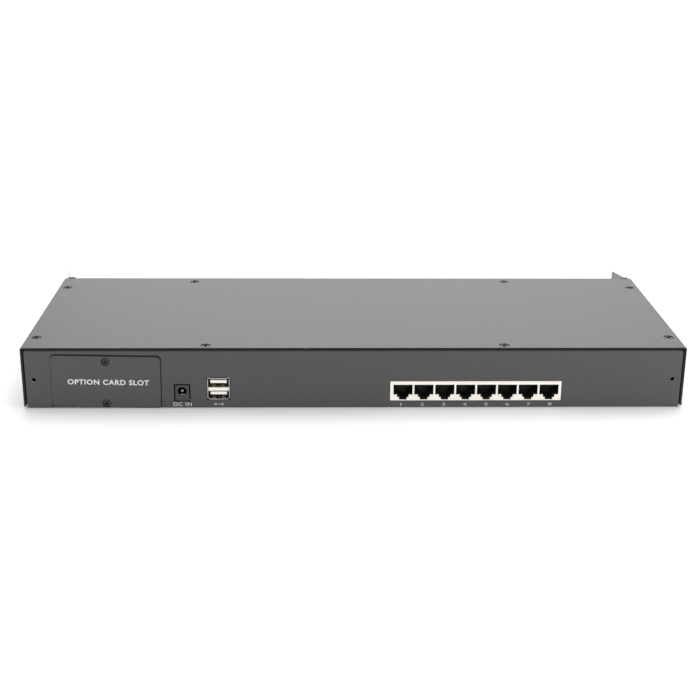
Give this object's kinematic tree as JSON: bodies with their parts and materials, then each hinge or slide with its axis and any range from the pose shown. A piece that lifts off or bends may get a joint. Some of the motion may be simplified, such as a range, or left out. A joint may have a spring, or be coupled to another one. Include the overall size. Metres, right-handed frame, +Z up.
{
  "type": "rack kvm switch",
  "caption": "Shallow one-unit rack KVM switch module: folded steel case, row of modular jacks, stacked USB, DC socket, blank expansion bay, screwed lid and two forward arms.",
  "frame": {"origin": "middle of the case's flat bottom face", "axes": "+X along the port panel, to the right when facing the ports; -Y out of the port panel; +Z up"},
  "size_m": [0.4408, 0.181, 0.0432],
  "materials": {
    "charcoal_paint": "satin fine-texture powder coat",
    "grey_steel": "dull plated",
    "black_screw": "black oxide",
    "zinc_steel": "zinc plated",
    "nickel_shell": "nickel plated",
    "cream_plastic": "moulded, semi-gloss",
    "white_plastic": "moulded",
    "black_plastic": "moulded",
    "blue_plastic": "moulded",
    "gold_contact": "gold flash",
    "board_green": "solder mask",
    "bare_aluminium": "extruded"
  },
  "bodies": {
    "chassis": {"bay_frame": "black_screw", "bay_socket": "black_plastic", "bay_socket_contacts": "gold_contact", "board_screws": "zinc_steel", "board_standoffs": "zinc_steel", "bracket_screws": "black_screw", "chassis_base": "charcoal_paint", "clock_crystal": "nickel_shell", "console_contacts": "gold_contact", "console_driver_chip": "black_plastic", "console_insulator": "blue_plastic", "console_jack_nuts": "zinc_steel", "console_shell": "zinc_steel", "crosspoint_chip": "black_plastic", "filter_capacitors": "bare_aluminium", "front_bracket_left": "grey_steel", "front_bracket_right": "grey_steel", "heat_sink": "bare_aluminium", "main_board": "board_green", "memory_chips": "black_plastic", "port_receivers": "black_plastic", "power_inductors": "black_plastic", "power_jack_body": "black_plastic", "power_jack_pin": "nickel_shell", "power_jack_spring": "gold_contact", "processor_chip": "black_plastic", "rj45_contacts": "gold_contact", "rj45_housing": "cream_plastic", "rj45_inserts": "black_plastic", "usb_contacts": "gold_contact", "usb_insulator": "white_plastic", "usb_seat": "white_plastic", "usb_shell": "nickel_shell", "video_switches": "black_plastic"},
    "cover": {"top_cover": "charcoal_paint", "cover_screws": "black_screw"},
    "bay_plate": {"blank_plate": "charcoal_paint", "blank_plate_screws": "black_screw"}
  },
  "joints": [
    {"name": "cover_lift", "type": "slide", "parent": "chassis", "child": "cover", "axis": [0, 0, 1], "range_m": [0, 0.12]},
    {"name": "bay_plate_pull", "type": "slide", "parent": "chassis", "child": "bay_plate", "axis": [0, -1, 0], "range_m": [0, 0.03]}
  ]
}
